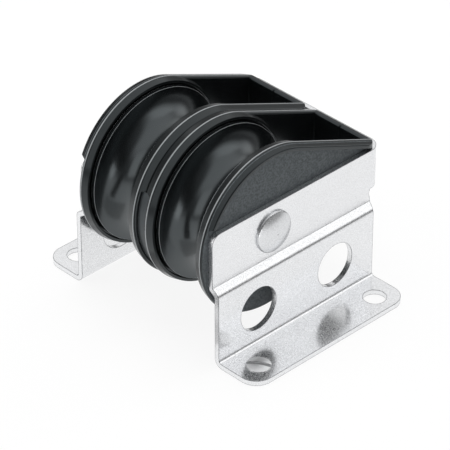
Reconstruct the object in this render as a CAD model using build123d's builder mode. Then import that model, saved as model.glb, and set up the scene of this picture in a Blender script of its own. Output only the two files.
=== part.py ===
from build123d import *
from math import acos, atan2, cos, degrees, hypot, radians, sin, tan
import os

# Double stand-up block: two sheaves side by side, each between two moulded half-shells, in a folded sheet frame.
# X runs along the axle from the left side plate to the right one, Y from the open rope side back to the web,
# and Z up. The origin is on the deck, under the middle of the block's length. Sizes are in millimetres.

# Frame: one sheet, folded at the web, at both joggles and at both feet
sheet = 1.5              # thickness of the sheet
plate_length = 58.0      # side plates and feet, along Y
plate_front = 22.0       # axle to the front edge of the side plates
plate_flare = 0.8        # how much further back the upper plates reach than the lower ones
plate_top = 40.3         # deck to the top edge of the side plates and the web
plate_corner = 3.0       # radius of the side plates' front top corner
joggle_height = 24.3     # deck to the upper bend line of the joggle
joggle_drop = 1.5        # height of the sloping part of the joggle
joggle_step = 2.35       # how far the joggle carries the lower plate outwards
joggle_bend = 0.5        # inside radius of the joggle's bends
foot_width = 13.9        # foot beyond the lower plate's outer face
foot_bend = 1.0          # inside radius of the bend above each foot
foot_corner = 5.3        # radius of the feet's outer corners
web_reach = 41.4         # axle to the outer face of the web
web_bottom = 28.1        # deck to the lower edge of the web
web_bend = 2.8           # inside radius of the web's bends
relief_radius = 1.4      # notch under each bend of the web
relief_depth = 0.4       # how far the notch cuts into the side plate

# Holes in the frame
window_radius = 6.5      # large round holes in the lower plates
window_height = 11.9     # deck to their centres
window_spacing = 28.8    # between the two in each plate
fixing_radius = 3.25     # fixing holes in the feet
fixing_pitch = 44.0      # between the two in each foot
fixing_offset = 7.8      # from the lower plate's outer face to their centres

# Axle rivet
axle_height = 32.0       # deck to the centre of the axle
rivet_radius = 4.0       # shank
head_radius = 6.1        # both heads
head_height = 2.0
head_edge = 0.7          # straight edge under the dome
head_round = 0.5         # rounding between the two

# Half-shells
bay_width = 22.1         # between the outer faces of a pair of half-shells
shell_slope = 23.0       # fall of the straight top edge towards the web, in degrees
shell_wall = 1.7         # cheek
shell_low = 26.4         # deck to the lower end of the back wall
back_wall = 2.4
back_round = 0.9         # rounding of the back wall's top and of the cheeks' back corners
edge_round = 0.8         # rounding of the cheeks' edges
ring_height = 1.3        # guard ring that stands in from the cheek round the sheave's lip
ring_gap = 0.45          # between the sheave's lip and the ring
ring_width = 1.45        # ring at its foot, out to the round front of the cheek
ring_round = 0.3         # rounding of the ring's outer edge
rim_height = 1.6         # rim that stands out from the cheek, level with the sheet
rim_width = 2.3          # rim at its foot
rim_round = 0.35         # rounding of the rim's edges
rim_lift = 1.3           # between the side plate's top edge and the front end of the rim
draft = 14.0             # fall of the ring and the rim from the middle of the cheek, in degrees
seam_bevel = 0.25        # bevel on the joint between two half-shells

# Centre plate, in the recess between the two inner shells
centre_inset = 1.1       # its round front inside the shells' round front

# Sheaves and bearings
sheave_radius = 22.5     # lips
lip_width = 1.1
lip_bevel = 0.6
recess_depth = 0.5       # round recess in each side of a sheave
hub_wall = 3.0           # from the bush to the recess
lip_wall = 4.0           # from the recess to the edge of the lip
tube_radius = 6.0        # bearing tube
bush_wall = 1.8
bush_bevel = 0.3
washer_radius = 10.0     # thrust washers
washer_thickness = 0.6

# Screw in the front right fixing hole
screw_head_radius = 3.4
screw_head_height = 0.7
screw_head_edge = 0.2    # straight edge under the dome
screw_head_round = 0.15  # rounding between the two
slot_width = 1.1
slot_depth = 0.45
slot_angle = 33.0        # slot from X, in degrees

# Clearances
rivet_gap = 0.05         # rivet in its holes, all round
running_gap = 0.05       # bush on its bearing tube, all round
side_gap = 0.1           # sheave to thrust washer
press_gap = 0.02         # bush in its sheave, all round
screw_gap = 0.25         # screw in its hole, all round

# Worked out from the sizes above
shell_radius = sheave_radius + ring_gap + ring_width
axle_y = (shell_radius - web_reach) / 2
front_y = axle_y - plate_front
rear_y = front_y + plate_length
middle_y = (front_y + rear_y) / 2
web_y = axle_y + web_reach
back_reach = web_reach - sheet
bay_x = rim_height + bay_width / 2
panel_x = rim_height + bay_width
upper_x = panel_x + sheet
lower_x = upper_x + joggle_step
foot_x = lower_x + foot_width
fixing_x = lower_x + fixing_offset
tube_length = bay_width - 2 * shell_wall
sheave_width = tube_length - 2 * (washer_thickness + side_gap)
bush_radius = tube_radius + running_gap + bush_wall
bore_radius = rivet_radius + rivet_gap
upper_middle = upper_x - sheet / 2
lower_middle = lower_x - sheet / 2
beyond = 2 * foot_x      # longer than any cut needs


def axle_plane(x):
    """Plane across the axle at x, with its own X along the block's Y."""
    return Plane(origin=(x, axle_y, axle_height), x_dir=(0, 1, 0), z_dir=(1, 0, 0))


def section_plane(x):
    """Upright plane through the axle, with its origin on the axle at x and its own Y up."""
    return Plane(origin=(x, axle_y, axle_height), x_dir=(1, 0, 0), z_dir=(0, -1, 0))


def top_edge(reach, inset=0.0):
    """Height over the axle of the cheek's straight top edge, at a distance behind the axle."""
    slope = radians(shell_slope)
    return (shell_radius - inset - reach * sin(slope)) / cos(slope)


def cheek_face(inset=0.0, back=back_reach):
    """Side outline of a half-shell: round front, straight falling top, back edge, straight rising underside."""
    radius = shell_radius - inset
    low = shell_low - axle_height + inset
    start = 90 - shell_slope
    end = degrees(atan2(low, back) - acos(radius / hypot(back, low)))
    with BuildSketch() as face:
        with BuildLine():
            front = CenterArc((0, 0), radius, start, 360 + end - start)
            Polyline(front @ 1, (back, low), (back, top_edge(back, inset)), front @ 0)
        make_face()
    return face.sketch


def rim_zone():
    """What lies over the side plate: higher in front of the plate's round corner than along its top."""
    over_plate = plate_top - axle_height
    with BuildSketch() as zone:
        with Locations((0, over_plate + rim_lift)):
            Rectangle(3 * shell_radius, shell_radius, align=(Align.CENTER, Align.MIN))
        with Locations((0, over_plate)):
            Rectangle(beyond, shell_radius, align=(Align.MIN, Align.MIN))
    return zone.sketch


def plan_face(outer_x, inward, radius):
    """Plan outline that starts at outer_x and has its back outer corner rounded."""
    side = Align.MIN if inward > 0 else Align.MAX
    with BuildSketch() as plan:
        with Locations((outer_x, axle_y + back_reach)):
            Rectangle(beyond, beyond, align=(side, Align.MAX))
        corner = plan.vertices().group_by(Axis.Y)[-1].sort_by(Axis.X)[0 if inward > 0 else -1]
        fillet(corner, radius)
    return plan.sketch


# Frame

with BuildPart() as frame:
    # upper part: a channel of two side plates and the web, seen from above
    with BuildSketch(Plane.XY.offset(joggle_height + joggle_drop)):
        with BuildLine():
            FilletPolyline(
                (-upper_middle, front_y),
                (-upper_middle, web_y - sheet / 2),
                (upper_middle, web_y - sheet / 2),
                (upper_middle, front_y),
                radius=web_bend + sheet / 2,
            )
        trace(line_width=sheet)
    extrude(amount=plate_top - joggle_height - joggle_drop)
    # its outline from the side: rounded front corner, and the plates shorter than the web below the web
    with BuildSketch(Plane.YZ) as side:
        with Locations((front_y, plate_top)):
            Rectangle(web_y - front_y, plate_top - web_bottom, align=(Align.MIN, Align.MAX))
            Rectangle(plate_length + plate_flare, plate_top, align=(Align.MIN, Align.MAX))
        fillet(side.vertices().group_by(Axis.Y)[-1].sort_by(Axis.X)[0], plate_corner)
    extrude(amount=beyond, both=True, mode=Mode.INTERSECT)
    # joggle, lower plate and foot of the right side, mirrored to the left
    bend_shift = sheet / 2 * (hypot(joggle_step, joggle_drop) - joggle_drop) / joggle_step
    with BuildSketch(Plane.XZ.offset(-rear_y - plate_flare)):
        with BuildLine():
            FilletPolyline(
                (upper_middle, joggle_height + joggle_drop),
                (upper_middle, joggle_height - bend_shift),
                (lower_middle, joggle_height - joggle_drop - bend_shift),
                (lower_middle, sheet / 2),
                (foot_x, sheet / 2),
                radius=[joggle_bend + sheet / 2, joggle_bend + sheet / 2, foot_bend + sheet / 2],
            )
        trace(line_width=sheet)
    lower = extrude(amount=plate_length + plate_flare)
    mirror(lower, about=Plane.YZ)
    # the lower plates and the feet end before the upper plates do, with the step in the joggle
    with BuildSketch(Plane.YZ):
        with BuildLine():
            Polyline(
                (rear_y, 0),
                (rear_y + 2 * plate_flare, 0),
                (rear_y + 2 * plate_flare, joggle_height),
                (rear_y + plate_flare, joggle_height),
                (rear_y, joggle_height - joggle_drop),
                close=True,
            )
        make_face()
    extrude(amount=beyond, both=True, mode=Mode.SUBTRACT)
    # rounded outer corners of the feet
    corners = frame.edges().filter_by(Axis.Z).group_by(lambda edge: round(abs(edge.center().X), 2))[-1]
    fillet(corners, foot_corner)
    # notches under the web's bends, windows and axle holes
    with BuildSketch(Plane.YZ):
        relief_y = rear_y + plate_flare - relief_depth + relief_radius
        with Locations((relief_y, web_bottom - relief_radius)):
            Circle(relief_radius)
        with Locations((middle_y, window_height)):
            with GridLocations(window_spacing, 0, 2, 1):
                Circle(window_radius)
        with Locations((axle_y, axle_height)):
            Circle(bore_radius)
    extrude(amount=beyond, both=True, mode=Mode.SUBTRACT)
    # fixing holes
    with BuildSketch():
        with Locations((0, middle_y)):
            with GridLocations(2 * fixing_x, fixing_pitch, 2, 2):
                Circle(fixing_radius)
    extrude(amount=2 * sheet, mode=Mode.SUBTRACT)


def rim(face_x, inward):
    """Raised rim of a half-shell, round the front and along the top, which falls away to its outer face."""
    outer_x = face_x - inward * rim_height
    with BuildPart() as strip:
        with BuildSketch(axle_plane(face_x + inward * shell_wall / 2)):
            add(cheek_face())
            add(cheek_face(rim_width, back_reach + rim_width), mode=Mode.SUBTRACT)
            add(rim_zone(), mode=Mode.INTERSECT)
        extrude(amount=-inward * (rim_height + shell_wall / 2), taper=draft)
        outer = strip.faces().filter_by(Axis.X).sort_by(Axis.X)[0 if inward > 0 else -1]
        fillet(outer.edges().sort_by(SortBy.LENGTH)[-4:], rim_round)
        with BuildSketch():
            add(plan_face(outer_x, inward, web_bend + rim_height))
        extrude(amount=beyond, mode=Mode.INTERSECT)
    return strip.part


def guard_ring(face_x, inward):
    """Ring that stands in from a cheek, round the sheave's lip, and falls away to its free edge."""
    inner = sheave_radius + ring_gap
    start = shell_wall / 2
    end = shell_wall + ring_height
    end_radius = shell_radius - (end - start) * tan(radians(draft))
    with BuildPart() as ring:
        with BuildSketch(section_plane(face_x)) as section:
            with BuildLine():
                Polyline(
                    (inward * start, inner),
                    (inward * end, inner),
                    (inward * end, end_radius),
                    (inward * start, shell_radius),
                    close=True,
                )
            make_face()
            free_edge = section.vertices().group_by(Axis.X)[-1 if inward > 0 else 0]
            fillet(free_edge.sort_by(Axis.Z)[-1], ring_round)
        revolve(axis=Axis((face_x, axle_y, axle_height), (1, 0, 0)))
    return ring.part


def half_shell(face_x, inward):
    """Half-shell whose outer face is at face_x, and whose sheave lies in the direction of inward."""
    raised = rim(face_x, inward)
    with BuildPart() as shell:
        # cheek
        with BuildSketch(axle_plane(face_x)) as outline:
            add(cheek_face())
            fillet(outline.vertices().group_by(Axis.X)[-1], back_round)
        extrude(amount=inward * shell_wall)
        fillet(shell.faces().filter_by(Axis.X).edges(), edge_round)
        add(guard_ring(face_x, inward))
        # half of the back wall, bevelled where it meets the other half
        front = back_reach - back_wall
        with BuildSketch(axle_plane(face_x + inward * shell_wall / 2)) as wall:
            with BuildLine():
                Polyline(
                    (front, shell_low - axle_height),
                    (back_reach, shell_low - axle_height),
                    (back_reach, top_edge(back_reach)),
                    (front, top_edge(front)),
                    close=True,
                )
            make_face()
            fillet(wall.vertices(), back_round)
        extrude(amount=inward * (bay_width - shell_wall) / 2)
        seam = shell.faces().filter_by(Axis.X).sort_by(Axis.X)[-1 if inward > 0 else 0]
        chamfer(seam.edges(), seam_bevel)
        with BuildSketch():
            add(plan_face(face_x, inward, web_bend))
        extrude(amount=beyond, mode=Mode.INTERSECT)
        add(raised)
        # bore for the rivet
        with BuildSketch(axle_plane(face_x)):
            Circle(bore_radius)
        extrude(amount=beyond, both=True, mode=Mode.SUBTRACT)
    return shell.part


def thrust_washer(x):
    """Washer between a cheek and a sheave, its middle at x."""
    with BuildPart() as washer:
        with BuildSketch(axle_plane(x)):
            Circle(washer_radius)
            Circle(tube_radius + running_gap, mode=Mode.SUBTRACT)
        extrude(amount=washer_thickness / 2, both=True)
    return washer.part


def bearing_tube(x):
    """Steel tube round the rivet, clamped between the two cheeks of a bay."""
    with BuildPart() as tube:
        with BuildSketch(axle_plane(x)):
            Circle(tube_radius)
            Circle(bore_radius, mode=Mode.SUBTRACT)
        extrude(amount=tube_length / 2, both=True)
    return tube.part


def bush(x):
    """Plain bearing bush pressed into a sheave."""
    with BuildPart() as sleeve:
        with BuildSketch(axle_plane(x)):
            Circle(bush_radius)
            Circle(tube_radius + running_gap, mode=Mode.SUBTRACT)
        extrude(amount=sheave_width / 2, both=True)
        chamfer(sleeve.edges().filter_by(GeomType.CIRCLE), bush_bevel)
    return sleeve.part


def sheave(x):
    """Moulded sheave: round groove between two lips, bored for its bush, with a shallow recess in each side."""
    half = sheave_width / 2
    bore = bush_radius + press_gap
    groove = half - lip_bevel - lip_width
    recess_height = sheave_radius - lip_wall - bore - hub_wall
    with BuildPart() as wheel:
        with BuildSketch(section_plane(x)) as section:
            with Locations((0, bore)):
                Rectangle(sheave_width, sheave_radius - bore, align=(Align.CENTER, Align.MIN))
            chamfer(section.vertices().group_by(Axis.Y)[-1], lip_bevel)
            with Locations((0, sheave_radius)):
                Circle(groove, mode=Mode.SUBTRACT)
            with Locations((-half, bore + hub_wall), (half, bore + hub_wall)):
                Rectangle(2 * recess_depth, recess_height, align=(Align.CENTER, Align.MIN), mode=Mode.SUBTRACT)
        revolve(axis=Axis((x, axle_y, axle_height), (1, 0, 0)))
    return wheel.part


# Centre plate

with BuildPart() as centre_plate:
    with BuildSketch(axle_plane(0)):
        add(cheek_face(centre_inset))
        add(rim_zone(), mode=Mode.SUBTRACT)
        Circle(bore_radius, mode=Mode.SUBTRACT)
    extrude(amount=rim_height, both=True)

def domed_head(radius, height, edge, rounding):
    """Head that stands on Z = 0 round the Z axis: a straight edge under a low dome."""
    with BuildPart() as head:
        with BuildSketch(Plane.XZ) as section:
            with BuildLine():
                foot = Line((0, 0), (radius, 0))
                side = Line(foot @ 1, (radius, edge))
                dome = TangentArc((0, height), side @ 1, tangent=(1, 0))
                Line(dome @ 0, foot @ 0)
            make_face()
            fillet(section.vertices().group_by(Axis.X)[-1].sort_by(Axis.Z)[-1], rounding)
        revolve(axis=Axis.Z)
    return head.part


# Axle rivet, with a head on each side

with BuildPart() as axle_rivet:
    with BuildSketch(axle_plane(0)):
        Circle(rivet_radius)
    extrude(amount=upper_x, both=True)
    rivet_head = domed_head(head_radius, head_height, head_edge, head_round)
    right_head = axle_plane(upper_x).location * rivet_head
    add(right_head)
    add(right_head.mirror(Plane.YZ))

# Screw in the front right fixing hole, level with the underside of the foot

with BuildPart() as mounting_screw:
    with Locations((fixing_x, middle_y - fixing_pitch / 2, 0)):
        Cylinder(fixing_radius - screw_gap, sheet, align=(Align.CENTER, Align.CENTER, Align.MIN))
    on_foot = Location((fixing_x, middle_y - fixing_pitch / 2, sheet), (0, 0, slot_angle))
    add(on_foot * domed_head(screw_head_radius, screw_head_height, screw_head_edge, screw_head_round))
    with Locations(on_foot * Location((0, 0, screw_head_height))):
        Box(3 * screw_head_radius, slot_width, 2 * slot_depth, mode=Mode.SUBTRACT)

# Every piece to its own file

pieces = {"frame": frame.part, "centre_plate": centre_plate.part, "axle_rivet": axle_rivet.part}
pieces["mounting_screw"] = mounting_screw.part
for side, sign in (("left", -1), ("right", 1)):
    pieces[f"{side}_inner_shell"] = half_shell(sign * rim_height, sign)
    pieces[f"{side}_outer_shell"] = half_shell(sign * panel_x, -sign)
    pieces[f"{side}_sheave"] = sheave(sign * bay_x)
    pieces[f"{side}_bush"] = bush(sign * bay_x)
    pieces[f"{side}_bearing_tube"] = bearing_tube(sign * bay_x)
    washer_offset = (tube_length - washer_thickness) / 2
    pieces[f"{side}_inner_washer"] = thrust_washer(sign * (bay_x - washer_offset))
    pieces[f"{side}_outer_washer"] = thrust_washer(sign * (bay_x + washer_offset))

os.makedirs("parts", exist_ok=True)
for name, piece in pieces.items():
    piece.label = name
    export_step(piece, f"parts/{name}.step")
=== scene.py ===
import logging
import math
from dataclasses import dataclass, field
from enum import Enum
from typing import Any, Optional, Union

import bpy
from mathutils import Matrix, Vector


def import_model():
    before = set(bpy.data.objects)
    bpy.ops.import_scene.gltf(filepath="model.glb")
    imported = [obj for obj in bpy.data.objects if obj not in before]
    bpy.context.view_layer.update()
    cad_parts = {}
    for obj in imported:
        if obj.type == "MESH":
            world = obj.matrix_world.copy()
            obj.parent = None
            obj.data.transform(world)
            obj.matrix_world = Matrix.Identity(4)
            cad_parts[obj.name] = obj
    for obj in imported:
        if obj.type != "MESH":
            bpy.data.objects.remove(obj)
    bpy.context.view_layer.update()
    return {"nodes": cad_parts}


# Looks of the double stand-up block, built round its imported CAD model.
# Everything is in metres, in the frame of the CAD model: X along the axle, Y from the open
# rope side back to the web, Z up from the deck. Angles are in degrees.

LOG = logging.getLogger("stand_up_block")
MM = 0.001
BEVEL_SAMPLES = 6
NOISE_MEAN = 0.5

Triple = tuple[float, float, float]
SocketKey = Union[str, int]

WHITE: Triple = (1.0, 1.0, 1.0)


class Operation(Enum):
    """Maths that an expression on sockets may use."""

    ADD = "ADD"
    SUBTRACT = "SUBTRACT"
    MULTIPLY = "MULTIPLY"
    POWER = "POWER"
    MAXIMUM = "MAXIMUM"
    ABSOLUTE = "ABSOLUTE"


class Axis(Enum):
    """The three numbers of a vector."""

    X = "X"
    Y = "Y"
    Z = "Z"


class Ray(Enum):
    """Kinds of ray that a surface can answer differently."""

    CAMERA = "Is Camera Ray"
    GLOSSY = "Is Glossy Ray"
    TRANSMISSION = "Is Transmission Ray"


class Side(Enum):
    """The two bays of the block."""

    LEFT = "left"
    RIGHT = "right"


class Surface(Enum):
    """Finishes that the block's pieces can have."""

    SHEET = "polished_sheet"
    RIVET = "polished_rivet"
    SCREW = "machined_screw"
    TUBE = "ground_tube"
    SHELL = "moulded_shell"
    PLATE = "moulded_plate"
    SHEAVE = "satin_sheave"
    BEARING = "smooth_bearing"


class Signal:
    """One output socket of a shader, with arithmetic that adds Math nodes."""

    def __init__(self, graph: "Graph", socket: Optional[bpy.types.NodeSocket]) -> None:
        """Wrap a socket of a graph, or None for a node that has no output."""
        self.graph = graph
        self.socket = socket

    def _math(self, operation: Operation, first: Any, second: Any) -> "Signal":
        """Result of one Math node on two values, each a Signal or a number."""
        settings = {"operation": operation.value}
        return self.graph.node("ShaderNodeMath", settings, {0: first, 1: second})

    def __add__(self, other: Any) -> "Signal":
        """Sum with a number or a Signal."""
        return self._math(Operation.ADD, self, other)

    def __radd__(self, other: Any) -> "Signal":
        """Sum with a number on the left."""
        return self._math(Operation.ADD, other, self)

    def __sub__(self, other: Any) -> "Signal":
        """Difference from a number or a Signal."""
        return self._math(Operation.SUBTRACT, self, other)

    def __rsub__(self, other: Any) -> "Signal":
        """A number less this Signal."""
        return self._math(Operation.SUBTRACT, other, self)

    def __mul__(self, other: Any) -> "Signal":
        """Product with a number or a Signal."""
        return self._math(Operation.MULTIPLY, self, other)

    def __rmul__(self, other: Any) -> "Signal":
        """Product with a number on the left."""
        return self._math(Operation.MULTIPLY, other, self)

    def __pow__(self, other: Any) -> "Signal":
        """This Signal to a power."""
        return self._math(Operation.POWER, self, other)

    def __abs__(self) -> "Signal":
        """This Signal without its sign."""
        return self._math(Operation.ABSOLUTE, self, 0.0)

    def at_least(self, other: Any) -> "Signal":
        """The larger of this and another."""
        return self._math(Operation.MAXIMUM, self, other)

    def ramp(self, low: float, high: float, start: float = 0.0, end: float = 1.0) -> "Signal":
        """Smooth step of this Signal.

        Args:
            low: where the step starts.
            high: where it ends.
            start: the value below low.
            end: the value above high.

        Returns:
            The stepped value.
        """
        settings = {"interpolation_type": "SMOOTHSTEP", "clamp": True}
        values = {"Value": self, "From Min": low, "From Max": high, "To Min": start, "To Max": end}
        return self.graph.node("ShaderNodeMapRange", settings, values)

    def band(self, half_width: float, fade: float) -> "Signal":
        """1 where this Signal is within half_width of 0, and 0 where it is farther than fade past that."""
        return abs(self).ramp(half_width, half_width + fade, 1.0, 0.0)


class Graph:
    """A node tree that is filled by one method."""

    # A Mix node's sockets share their names, so its colours are reached by number.
    MIX_FACTOR = 0
    MIX_FIRST = 6
    MIX_SECOND = 7
    MIX_RESULT = 2

    def __init__(self, tree: bpy.types.NodeTree) -> None:
        """Take over the tree of a material or of the world, and empty it."""
        self.tree = tree
        tree.nodes.clear()

    def node(self, kind: str, settings: Optional[dict[str, Any]] = None,
             sockets: Optional[dict[SocketKey, Any]] = None, output: SocketKey = 0) -> Signal:
        """Add a node.

        Args:
            kind: the node's type.
            settings: its properties, set before its sockets.
            sockets: values or Signals of its inputs, by name or place.
            output: which output the result wraps, by name or place.

        Returns:
            The chosen output.
        """
        made = self.tree.nodes.new(kind)
        for name, value in (settings or {}).items():
            setattr(made, name, value)
        for name, value in (sockets or {}).items():
            socket = made.inputs[name]
            if isinstance(value, Signal):
                self.tree.links.new(value.socket, socket)
            else:
                socket.default_value = value
        return Signal(self, made.outputs[output] if made.outputs else None)

    def coordinates(self) -> Signal:
        """Object coordinates, in metres."""
        return self.node("ShaderNodeTexCoord", output="Object")

    def axis(self, vector: Signal, axis: Axis) -> Signal:
        """One of a vector's three numbers."""
        return self.node("ShaderNodeSeparateXYZ", {}, {"Vector": vector}, axis.value)

    def ray(self, kind: Ray) -> Signal:
        """1 for rays of one kind and 0 for all others."""
        return self.node("ShaderNodeLightPath", output=kind.value)

    def noise(self, size: float, detail: float) -> Signal:
        """Noise on Object coordinates, from 0 to 1, with grains of a size and that many finer layers."""
        sockets = {"Vector": self.coordinates(), "Scale": 1.0 / size, "Detail": detail}
        return self.node("ShaderNodeTexNoise", {}, sockets)

    def rounded(self, radius: float) -> Signal:
        """The surface's normal with its edges rounded to a radius."""
        return self.node("ShaderNodeBevel", {"samples": BEVEL_SAMPLES}, {"Radius": radius})

    def edge(self, rounded: Signal, start: float, full: float) -> Signal:
        """Where a surface turns sharply.

        Args:
            rounded: the normal with its edges rounded.
            start: the turn where the mask begins, as 1 less the cosine.
            full: the turn where it is 1.

        Returns:
            1 along the edges and 0 on open surfaces.
        """
        plain = self.node("ShaderNodeNewGeometry", output="Normal")
        settings = {"operation": "DOT_PRODUCT"}
        aligned = self.node("ShaderNodeVectorMath", settings, {0: plain, 1: rounded}, "Value")
        return (1 - aligned).ramp(start, full)

    def mix(self, factor: Any, first: Any, second: Any) -> Signal:
        """Blend of two colours or Signals: a factor of 0 gives the first and 1 the second."""
        sockets = {self.MIX_FACTOR: factor, self.MIX_FIRST: first, self.MIX_SECOND: second}
        return self.node("ShaderNodeMix", {"data_type": "RGBA"}, sockets, self.MIX_RESULT)

    def mix_shaders(self, factor: Signal, first: Signal, second: Signal) -> Signal:
        """Blend of two shaders: a factor of 0 gives the first and 1 the second."""
        return self.node("ShaderNodeMixShader", {}, {0: factor, 1: first, 2: second})

    def bump(self, height: Signal, depth: float, normal: Signal) -> Signal:
        """The normal with a relief added, which is the height times the depth, in metres."""
        sockets = {"Height": height, "Distance": depth, "Strength": 1.0, "Normal": normal}
        return self.node("ShaderNodeBump", {}, sockets)


def opaque(tone: Triple, factor: float = 1.0) -> tuple[float, float, float, float]:
    """A tone as an opaque colour, made lighter or darker by a factor."""
    red, green, blue = (value * factor for value in tone)
    return (red, green, blue, 1.0)


def new_material(name: str) -> tuple[bpy.types.Material, Graph]:
    """Make an empty material.

    Args:
        name: its name.

    Returns:
        The material and its graph.
    """
    material = bpy.data.materials.new(name)
    material.use_nodes = True
    return material, Graph(material.node_tree)


def close_material(graph: Graph, shader: Signal) -> None:
    """Link a shader to the material's output."""
    graph.node("ShaderNodeOutputMaterial", {}, {"Surface": shader})


def new_plane(name: str, size: float) -> bpy.types.Object:
    """Add a square on the deck plane, for the stage.

    Args:
        name: its name.
        size: its side.

    Returns:
        The plane's object.
    """
    bpy.ops.object.select_all(action="DESELECT")
    bpy.ops.mesh.primitive_plane_add(size=size, location=(0.0, 0.0, 0.0))
    plane = bpy.context.object
    plane.name = name
    LOG.info("%s: plane of the stage", name)
    return plane


@dataclass(frozen=True)
class PaintedSlotShade:
    """Painted shade in the screw's slot: the slot is darker than its polished head in the colour, standing
    for the shade in its recess.
    """

    centre: tuple[float, float] = (35.35 * MM, -23.5 * MM)
    angle: float = 33.0
    half_width: float = 0.5 * MM
    fade: float = 0.05 * MM
    tone: Triple = (0.48, 0.485, 0.495)

    def mask(self, graph: Graph) -> Signal:
        """Where the slot is.

        Args:
            graph: the graph of the screw's material.

        Returns:
            1 in the slot and 0 on the head.
        """
        turn = math.radians(self.angle)
        place = graph.coordinates()
        across = graph.axis(place, Axis.X) - self.centre[0]
        along = graph.axis(place, Axis.Y) - self.centre[1]
        return (along * math.cos(turn) - across * math.sin(turn)).band(self.half_width, self.fade)


@dataclass(frozen=True)
class PolishedMetal:
    """Stainless steel, tumbled to a satin polish after it was formed."""

    surface: Surface
    tone: Triple = (0.885, 0.892, 0.905)
    tone_spread: float = 0.07
    # Painted shade: the dark colour given to edges and bends, standing for dark reflections and shadow in
    # creases.
    painted_edge_shading: Triple = (0.12, 0.125, 0.135)
    roughness: float = 0.17
    roughness_spread: float = 0.06
    frost_roughness: float = 0.45
    frost_range: tuple[float, float] = (0.32, 0.72)
    frost_detail: float = 2.0
    cloud_size: float = 9 * MM
    grain_size: float = 0.24 * MM
    grain_depth: float = 0.002 * MM
    grain_share: float = 0.8
    detail: float = 3.0
    mottle_range: tuple[float, float] = (0.35, 0.65)
    edge_radius: float = 0.3 * MM
    edge_turn: tuple[float, float] = (0.003, 0.07)
    slot: Optional[PaintedSlotShade] = None

    def material(self) -> bpy.types.Material:
        """Build the material.

        Returns:
            A material with faint clouds, a fine even grain and softened edges, greyed by painted shade
            that stands for dark reflections and shadow in creases.
        """
        material, graph = new_material(self.surface.value)
        clouds = graph.noise(self.cloud_size, self.detail)
        grain = graph.noise(self.grain_size, self.detail)
        rounded = graph.rounded(self.edge_radius)
        mottle = (clouds * (1 - self.grain_share) + grain * self.grain_share).ramp(*self.mottle_range)
        shade = graph.mix(mottle, opaque(self.tone), opaque(self.tone, 1 - self.tone_spread))
        # Painted shade: edges and bends are darkened in the colour.
        shade = graph.mix(graph.edge(rounded, *self.edge_turn), shade, opaque(self.painted_edge_shading))
        # Painted shade: the screw's slot is darkened in the colour.
        if self.slot is not None:
            shade = graph.mix(self.slot.mask(graph), shade, opaque(self.slot.tone))
        unevenness = (clouds - NOISE_MEAN) + (grain - NOISE_MEAN)
        rough = self.roughness + unevenness * self.roughness_spread
        normal = graph.bump(grain, self.grain_depth, rounded)
        metal = {"Base Color": shade, "Metallic": 1.0, "Normal": normal}
        bright, frosted = (
            graph.node("ShaderNodeBsdfPrincipled", {}, {**metal, "Roughness": roughness})
            for roughness in (rough, self.frost_roughness))
        share = graph.noise(self.grain_size, self.frost_detail).ramp(*self.frost_range)
        close_material(graph, graph.mix_shaders(share, bright, frosted))
        return material


@dataclass(frozen=True)
class GrainedPanel:
    """The flat outer panels of the shells, which have a coarser grain than the rest."""

    distance: float = 23.7 * MM
    reach: float = 0.08 * MM
    tone: Triple = (0.058, 0.065, 0.07)
    tone_spread: float = 0.45
    speckle_range: tuple[float, float] = (0.3, 0.7)
    roughness: float = 0.55
    grain_size: float = 0.5 * MM
    grain_depth: float = 0.035 * MM
    grain_detail: float = 2.0

    def mask(self, graph: Graph) -> Signal:
        """1 on the panels and 0 elsewhere."""
        across = abs(graph.axis(graph.coordinates(), Axis.X))
        return (across - self.distance).band(self.reach, self.reach)

    def shade(self, graph: Graph, coarse: Signal) -> Signal:
        """Speckled colour of the panels.

        Args:
            graph: the graph of the shells' material.
            coarse: the noise of their grain.

        Returns:
            Their colour, lighter where the grain is high.
        """
        low = opaque(self.tone, 1 - self.tone_spread)
        high = opaque(self.tone, 1 + self.tone_spread)
        return graph.mix(coarse.ramp(*self.speckle_range), low, high)


@dataclass(frozen=True)
class PaintedCrestHighlight:
    """Painted highlights: fine light lines along the ridges of the rims, standing for the light that their
    rounded crests catch.
    """

    distances: tuple[float, float] = (2.45 * MM, 22.85 * MM)
    half_width: float = 0.06 * MM
    fade: float = 0.24 * MM
    tone: Triple = (0.3, 0.312, 0.32)

    def mask(self, graph: Graph) -> Signal:
        """Where the lines run.

        Args:
            graph: the graph of the shells' material.

        Returns:
            1 on the lines and 0 elsewhere.
        """
        across = abs(graph.axis(graph.coordinates(), Axis.X))
        inner, outer = (
            (across - distance).band(self.half_width, self.fade) for distance in self.distances)
        return inner.at_least(outer)


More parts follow.
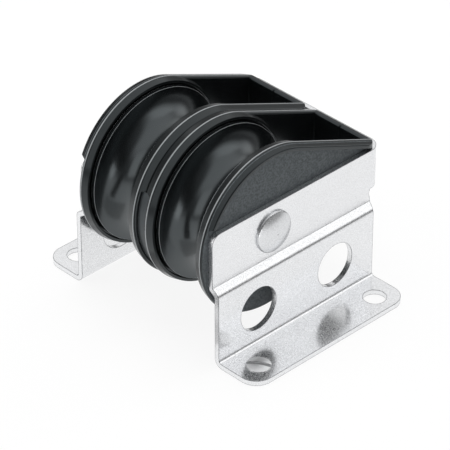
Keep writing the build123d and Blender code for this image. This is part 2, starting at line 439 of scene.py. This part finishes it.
@dataclass(frozen=True)
class MouldedPlastic:
    """Moulded plastic with a fine, even grain."""

    surface: Surface
    tone: Triple = (0.006, 0.007, 0.0075)
    tone_spread: float = 0.18
    roughness: float = 0.2
    roughness_spread: float = 0.06
    cloud_size: float = 6 * MM
    cloud_detail: float = 3.0
    grain_size: float = 0.2 * MM
    grain_depth: float = 0.0025 * MM
    grain_detail: float = 1.0
    grain_share: float = 0.6
    edge_radius: float = 0.2 * MM
    # Painted highlight: the light colour given to edges, standing for light caught by rounded edges.
    painted_edge_shading: Optional[Triple] = None
    edge_turn: tuple[float, float] = (0.012, 0.09)
    specular: float = 0.55
    specular_tint: Triple = (0.86, 0.96, 1.0)
    panel: Optional[GrainedPanel] = None
    crest_highlight: Optional[PaintedCrestHighlight] = None

    def material(self) -> bpy.types.Material:
        """Build the material.

        Returns:
            A material with a grained relief and slightly uneven tone.
        """
        material, graph = new_material(self.surface.value)
        clouds = graph.noise(self.cloud_size, self.cloud_detail)
        grain = graph.noise(self.grain_size, self.grain_detail)
        mottle = clouds * (1 - self.grain_share) + grain * self.grain_share
        dark = opaque(self.tone, 1 - self.tone_spread)
        light = opaque(self.tone, 1 + self.tone_spread)
        shade = graph.mix(mottle, dark, light)
        rough = self.roughness + (clouds - NOISE_MEAN) * self.roughness_spread
        relief = grain * self.grain_depth
        if self.panel is not None:
            mask = self.panel.mask(graph)
            coarse = graph.noise(self.panel.grain_size, self.panel.grain_detail)
            shade = graph.mix(mask, shade, self.panel.shade(graph, coarse))
            rough = rough + (self.panel.roughness - rough) * mask
            relief = relief + (coarse * self.panel.grain_depth - relief) * mask
        rounded = graph.rounded(self.edge_radius)
        # Painted highlight: edges are lightened in the colour.
        if self.painted_edge_shading is not None:
            shade = graph.mix(graph.edge(rounded, *self.edge_turn), shade, opaque(self.painted_edge_shading))
        # Painted highlight: light lines along the ridges of the rims.
        if self.crest_highlight is not None:
            shade = graph.mix(self.crest_highlight.mask(graph), shade, opaque(self.crest_highlight.tone))
        shader = graph.node("ShaderNodeBsdfPrincipled", {}, {
            "Base Color": shade, "Roughness": rough, "Normal": graph.bump(relief, 1.0, rounded),
            "Specular IOR Level": self.specular, "Specular Tint": opaque(self.specular_tint)})
        close_material(graph, shader)
        return material


FINISHES: dict[Surface, Union[PolishedMetal, MouldedPlastic]] = {finish.surface: finish for finish in (
    PolishedMetal(Surface.SHEET),
    # The rivet's and the screw's edge colours are painted shade: dark rims for contact shadow and dark
    # reflections.
    PolishedMetal(
        Surface.RIVET, tone=(0.78, 0.79, 0.805), painted_edge_shading=(0.16, 0.17, 0.18), edge_turn=(0.02, 0.15)),
    PolishedMetal(
        Surface.SCREW, tone=(0.96, 0.965, 0.97), painted_edge_shading=(0.04, 0.045, 0.05), roughness=0.42,
        frost_range=(0.1, 0.6), grain_depth=0.001 * MM, edge_radius=0.17 * MM, edge_turn=(0.03, 0.16),
        slot=PaintedSlotShade()),
    PolishedMetal(Surface.TUBE, roughness=0.3),
    MouldedPlastic(Surface.SHELL, panel=GrainedPanel(), crest_highlight=PaintedCrestHighlight()),
    # The plate's and the sheave's edge colours are painted highlights on their rounded edges.
    MouldedPlastic(
        Surface.PLATE, tone=(0.032, 0.036, 0.039), roughness=0.34, painted_edge_shading=(0.2, 0.21, 0.215)),
    MouldedPlastic(
        Surface.SHEAVE, roughness=0.22, grain_depth=0.005 * MM, painted_edge_shading=(0.4, 0.415, 0.425),
        specular=1.0),
    MouldedPlastic(Surface.BEARING, tone=(0.7, 0.69, 0.65), roughness=0.4),
)}


class Wardrobe:
    """Makes each finish once and hands it out."""

    def __init__(self) -> None:
        """Start with no material made."""
        self._made: dict[Surface, bpy.types.Material] = {}

    def get(self, surface: Surface) -> bpy.types.Material:
        """The material of a finish.

        Args:
            surface: the finish.

        Returns:
            Its material, made at the first call.
        """
        if surface not in self._made:
            self._made[surface] = FINISHES[surface].material()
        return self._made[surface]


def dress(node: bpy.types.Object, material: bpy.types.Material) -> None:
    """Give a CAD node one material.

    Args:
        node: the node's object.
        material: what it is made of.
    """
    node.data.materials.clear()
    node.data.materials.append(material)
    LOG.info("%s: %s, %d faces", node.name, material.name, len(node.data.polygons))


@dataclass
class FoldedFrame:
    """The folded sheet with its rivet and the one mounting screw."""

    nodes: dict[str, bpy.types.Object]
    wardrobe: Wardrobe
    finishes: dict[str, Surface] = field(default_factory=lambda: {
        "frame": Surface.SHEET, "axle_rivet": Surface.RIVET, "mounting_screw": Surface.SCREW})

    def build(self) -> None:
        """Dress the metal parts."""
        for name, surface in self.finishes.items():
            dress(self.nodes[name], self.wardrobe.get(surface))


@dataclass
class Housing:
    """The half-shells and the plate between the two bays."""

    nodes: dict[str, bpy.types.Object]
    wardrobe: Wardrobe

    def build(self) -> None:
        """Dress the moulded parts."""
        dress(self.nodes["centre_plate"], self.wardrobe.get(Surface.PLATE))
        for side in Side:
            for place in ("inner", "outer"):
                dress(self.nodes[f"{side.value}_{place}_shell"], self.wardrobe.get(Surface.SHELL))


@dataclass
class Wheel:
    """One sheave with its bearing."""

    side: Side
    nodes: dict[str, bpy.types.Object]
    wardrobe: Wardrobe
    finishes: dict[str, Surface] = field(default_factory=lambda: {
        "sheave": Surface.SHEAVE, "bush": Surface.BEARING, "bearing_tube": Surface.TUBE,
        "inner_washer": Surface.BEARING, "outer_washer": Surface.BEARING})

    def build(self) -> None:
        """Dress the sheave and what carries it."""
        for name, surface in self.finishes.items():
            dress(self.nodes[f"{self.side.value}_{name}"], self.wardrobe.get(surface))


@dataclass
class Photographer:
    """Camera at the photograph's viewing angle."""

    target: Triple = (0.0, -8.5 * MM, 20 * MM)
    azimuth: float = 46.356
    elevation: float = 34.462
    roll: float = 0.315
    distance: float = 833.59 * MM
    focal_pixels: float = 3104.5
    picture: int = 450
    target_pixel: tuple[float, float] = (206.394, 229.662)
    sensor: float = 36.0
    clip: tuple[float, float] = (0.05, 20.0)

    def build(self) -> None:
        """Make the camera and set it as the scene's."""
        turn, rise, lean = (math.radians(angle) for angle in (self.azimuth, self.elevation, self.roll))
        level = math.cos(rise)
        right = Vector((math.cos(turn), math.sin(turn), 0.0))
        back = Vector((math.sin(turn) * level, -math.cos(turn) * level, math.sin(rise)))
        up = back.cross(right)
        across = right * math.cos(lean) - up * math.sin(lean)
        upward = right * math.sin(lean) + up * math.cos(lean)
        data = bpy.data.cameras.new("camera")
        data.sensor_width = self.sensor
        data.lens = self.focal_pixels * self.sensor / self.picture
        middle = self.picture / 2
        data.shift_x = (middle - self.target_pixel[0]) / self.picture
        data.shift_y = (self.target_pixel[1] - middle) / self.picture
        data.clip_start, data.clip_end = self.clip
        camera = bpy.data.objects.new("camera", data)
        bpy.context.scene.collection.objects.link(camera)
        columns = Matrix((across, upward, back)).transposed()
        place = Matrix.Translation(Vector(self.target) + back * self.distance)
        camera.matrix_world = place @ columns.to_4x4()
        bpy.context.scene.camera = camera


@dataclass
class SoftBox:
    """One square lamp that faces the block. Reflections show the room in its place."""

    name: str
    place: Triple
    size: float
    power: float
    aim: Triple = (0.0, 0.0, 0.025)

    def build(self) -> None:
        """Make the lamp."""
        data = bpy.data.lights.new(self.name, "AREA")
        data.shape = "SQUARE"
        data.size = self.size
        data.energy = self.power
        lamp = bpy.data.objects.new(self.name, data)
        bpy.context.scene.collection.objects.link(lamp)
        lamp.location = self.place
        lamp.rotation_mode = "QUATERNION"
        lamp.rotation_quaternion = (Vector(self.place) - Vector(self.aim)).to_track_quat("Z", "Y")
        lamp.visible_glossy = False


@dataclass(frozen=True)
class SkyPatch:
    """A soft-edged window of light that reflections show above the horizon.

    Azimuths run from the front towards the right.
    """

    azimuth: float
    half_width: float
    low: float
    high: float
    level: float
    softness: float = 0.12

    def light(self, across: Signal, along: Signal, height: Signal) -> Signal:
        """Light of this patch in a direction.

        Args:
            across: the direction's X.
            along: its Y.
            height: its Z.

        Returns:
            The patch's level inside it and 0 outside.
        """
        turn = math.radians(self.azimuth)
        flat = (1 - height * height).at_least(0.0) ** 0.5
        facing = across * math.sin(turn) - along * math.cos(turn)
        aside = facing - flat * math.cos(math.radians(self.half_width))
        inside = aside.ramp(-self.softness, self.softness)
        bottom, top = (math.sin(math.radians(angle)) for angle in (self.low, self.high))
        above = height.ramp(bottom - self.softness, bottom + self.softness)
        below = height.ramp(top - self.softness, top + self.softness, 1.0, 0.0)
        return inside * above * below * self.level


@dataclass(frozen=True)
class FloorCard:
    """A card that lies on the floor out of the picture and shows in reflections alone."""

    name: str
    azimuth: float
    half_width: float
    near: float
    far: float
    level: float
    height: float = 0.2 * MM

    def build(self) -> None:
        """Make the card."""
        card = new_plane(self.name, 1.0)
        spread = math.tan(math.radians(self.half_width))
        turn = Matrix.Rotation(math.radians(self.azimuth), 3, "Z")
        for corner in card.data.vertices:
            reach = self.far if corner.co.y < 0 else self.near
            side = 1.0 if corner.co.x > 0 else -1.0
            corner.co = turn @ Vector((side * reach * spread, -reach, self.height))
        card.visible_camera = False
        card.visible_diffuse = False
        card.visible_shadow = False
        card.visible_transmission = False
        material, graph = new_material(self.name)
        close_material(graph, graph.node("ShaderNodeEmission", {}, {"Strength": self.level}))
        card.data.materials.append(material)


@dataclass
class Studio:
    """Pale floor, lamps, cards and surroundings."""

    floor_size: float = 3.0
    floor_white: float = 0.9
    floor_share: float = 0.88
    floor_fall: tuple[float, float] = (0.11, 0.3)
    floor_far: float = 0.25
    world_level: float = 0.55
    dimmest: float = 0.16
    overhead: tuple[float, float] = (0.34, 0.84)
    lobe_azimuth: float = 62.0
    lobe_height: float = 26.0
    lobe_size: tuple[float, float] = (48.0, 28.0)
    lobe_depth: float = 0.8
    patches: tuple[SkyPatch, ...] = (
        SkyPatch(-35.0, 27.0, -20.0, 45.0, 1.15, 0.05),
        SkyPatch(160.0, 42.0, 18.0, 36.0, 0.95),
        SkyPatch(178.0, 20.0, 8.0, 32.0, 1.5),
        SkyPatch(140.0, 30.0, 26.0, 60.0, 1.4, 0.08),
        SkyPatch(-134.0, 32.0, 22.0, 60.0, 1.0),
    )
    cards: tuple[FloorCard, ...] = (
        FloorCard("front_black_card", 11.0, 8.0, 0.05, 0.9, 0.03),
        # Painted shadow: a dim card that stands for the block's own shadow on the floor close in front, as
        # reflections show it.
        FloorCard("painted_shadow_card", 0.0, 28.0, 0.024, 0.045, 0.55),
        FloorCard("right_white_card", 61.0, 21.0, 0.12, 0.9, 2.0),
    )
    lamps: tuple[SoftBox, ...] = (
        SoftBox("overhead_lamp", (-0.1, 0.15, 0.9), 0.7, 5.0),
        SoftBox("front_left_lamp", (-0.6, -0.8, 0.42), 0.6, 2.6),
        SoftBox("back_lamp", (0.15, 1.0, 0.4), 0.5, 2.0),
    )

    def build(self) -> None:
        """Make the floor, the world, the cards and the lamps."""
        self._floor()
        self._world()
        for piece in (*self.cards, *self.lamps):
            piece.build()

    def _floor(self) -> None:
        """Make the floor: white to the camera, and darker far out in reflections."""
        floor = new_plane("floor", self.floor_size)
        material, graph = new_material("floor_paper")
        paper = graph.node("ShaderNodeBsdfDiffuse", {}, {"Color": opaque(WHITE, self.floor_white)})
        settings = {"operation": "LENGTH"}
        reach = graph.node("ShaderNodeVectorMath", settings, {0: graph.coordinates()}, "Value")
        mirrored = graph.ray(Ray.GLOSSY)
        shown = 1 - mirrored * reach.ramp(*self.floor_fall, 0.0, 1 - self.floor_far)
        white = graph.node("ShaderNodeEmission", {}, {"Color": opaque(WHITE), "Strength": shown})
        seen = graph.ray(Ray.CAMERA).at_least(mirrored).at_least(graph.ray(Ray.TRANSMISSION))
        close_material(graph, graph.mix_shaders(seen * self.floor_share, paper, white))
        floor.data.materials.append(material)

    def _lobe(self, across: Signal, along: Signal, height: Signal) -> Signal:
        """The dark part of the room behind the camera.

        Args:
            across: a direction's X.
            along: its Y.
            height: its Z.

        Returns:
            1 in the middle of the dark part and 0 outside it.
        """
        turn, rise = math.radians(self.lobe_azimuth), math.radians(self.lobe_height)
        level = math.cos(rise)
        facing = across * (math.sin(turn) * level) - along * (math.cos(turn) * level)
        edge, middle = (math.cos(math.radians(angle)) for angle in self.lobe_size)
        return (facing + height * math.sin(rise)).ramp(edge, middle)

    def _world(self) -> None:
        """Make the surroundings: white to the camera, and a room with soft boxes in reflections."""
        world = bpy.data.worlds.new("studio")
        bpy.context.scene.world = world
        world.use_nodes = True
        graph = Graph(world.node_tree)
        direction = graph.node("ShaderNodeTexCoord", output="Generated")
        across, along, height = (graph.axis(direction, axis) for axis in Axis)
        room = height.ramp(*self.overhead, self.dimmest, 1.0)
        for patch in self.patches:
            room = room.at_least(patch.light(across, along, height))
        room = room * (1 - self._lobe(across, along, height) * self.lobe_depth)
        seen = graph.ray(Ray.CAMERA)
        mirrored = graph.ray(Ray.GLOSSY)
        level = seen + (1 - seen) * (mirrored * room + (1 - mirrored) * self.world_level)
        lit = graph.node("ShaderNodeBackground", {}, {"Color": opaque(WHITE), "Strength": level})
        graph.node("ShaderNodeOutputWorld", {}, {"Surface": lit})


def main() -> None:
    """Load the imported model, dress it and set the stage."""
    logging.basicConfig(level=logging.INFO, format="%(name)s: %(message)s")
    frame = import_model()
    scene = bpy.context.scene
    scene.view_settings.view_transform = "Standard"
    wardrobe = Wardrobe()
    nodes = frame["nodes"]
    FoldedFrame(nodes, wardrobe).build()
    Housing(nodes, wardrobe).build()
    for side in Side:
        Wheel(side, nodes, wardrobe).build()
    Photographer().build()
    Studio().build()


if __name__ == "__main__":
    main()
